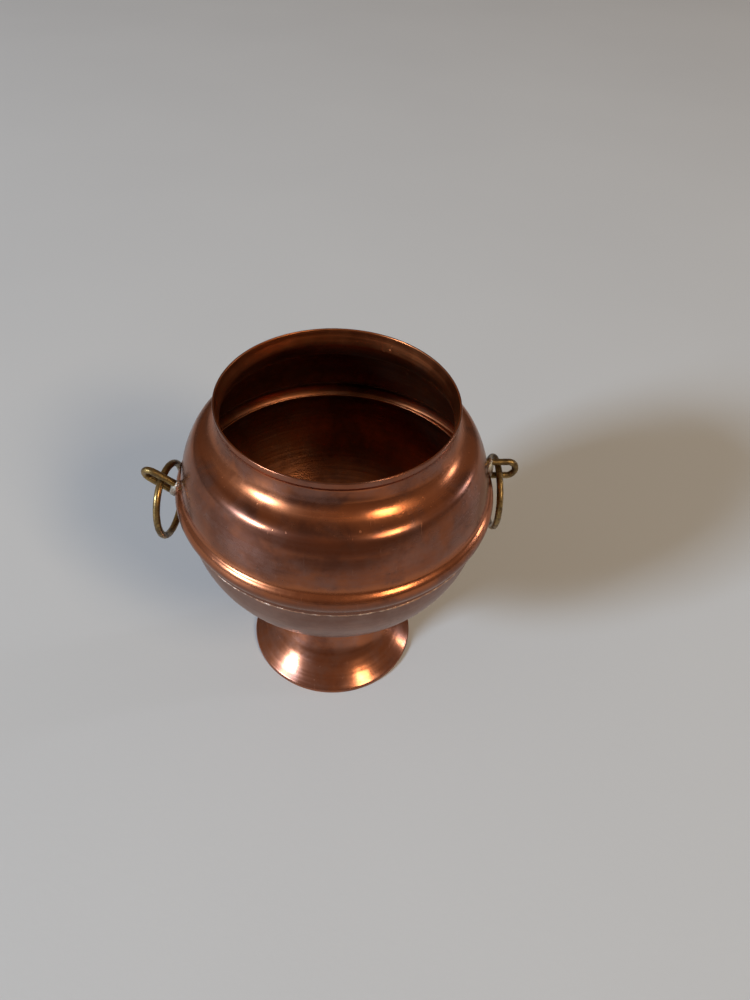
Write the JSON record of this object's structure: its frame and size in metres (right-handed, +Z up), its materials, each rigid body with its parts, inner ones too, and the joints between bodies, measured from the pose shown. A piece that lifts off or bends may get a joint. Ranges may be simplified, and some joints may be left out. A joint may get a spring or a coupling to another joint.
{
  "type": "miniature footed urn with ring handles",
  "caption": "Small footed copper urn, round-bellied with an open collared neck, a hollow trumpet foot and a brass ring handle hanging on each side.",
  "frame": {"origin": "where the urn's vertical axis meets the surface it stands on", "axes": "+Z up along the urn's axis, X through the two ring handles, Y across them"},
  "size_m": [0.096, 0.0806, 0.0907],
  "materials": {
    "copper": "spun and worn copper with a warm brown tarnish",
    "dark_copper": "duller, greyer tarnished copper",
    "brass_wire": "aged drawn brass wire",
    "solder": "dull grey soft solder"
  },
  "bodies": {
    "pot": {"upper_shell": "copper", "lower_bowl": "dark_copper", "foot": "copper", "belly_solder_seam": "solder", "foot_solder_seam": "solder", "left_eye": "brass_wire", "left_eye_solder": "solder", "right_eye": "brass_wire", "right_eye_solder": "solder"},
    "left_ring": {"left_ring": "brass_wire"},
    "right_ring": {"right_ring": "brass_wire"}
  },
  "joints": [
    {"name": "left_ring_swing", "type": "hinge", "parent": "pot", "child": "left_ring", "pos_m": [-0.04321, 0.00049, 0.06687], "axis": [0.265, 0.924, 0.2756], "range_deg": [-3, 208]},
    {"name": "right_ring_swing", "type": "hinge", "parent": "pot", "child": "right_ring", "pos_m": [0.04275, -0.00019, 0.065], "axis": [-0.0867, -0.9907, -0.1045], "range_deg": [-16, 203]}
  ]
}
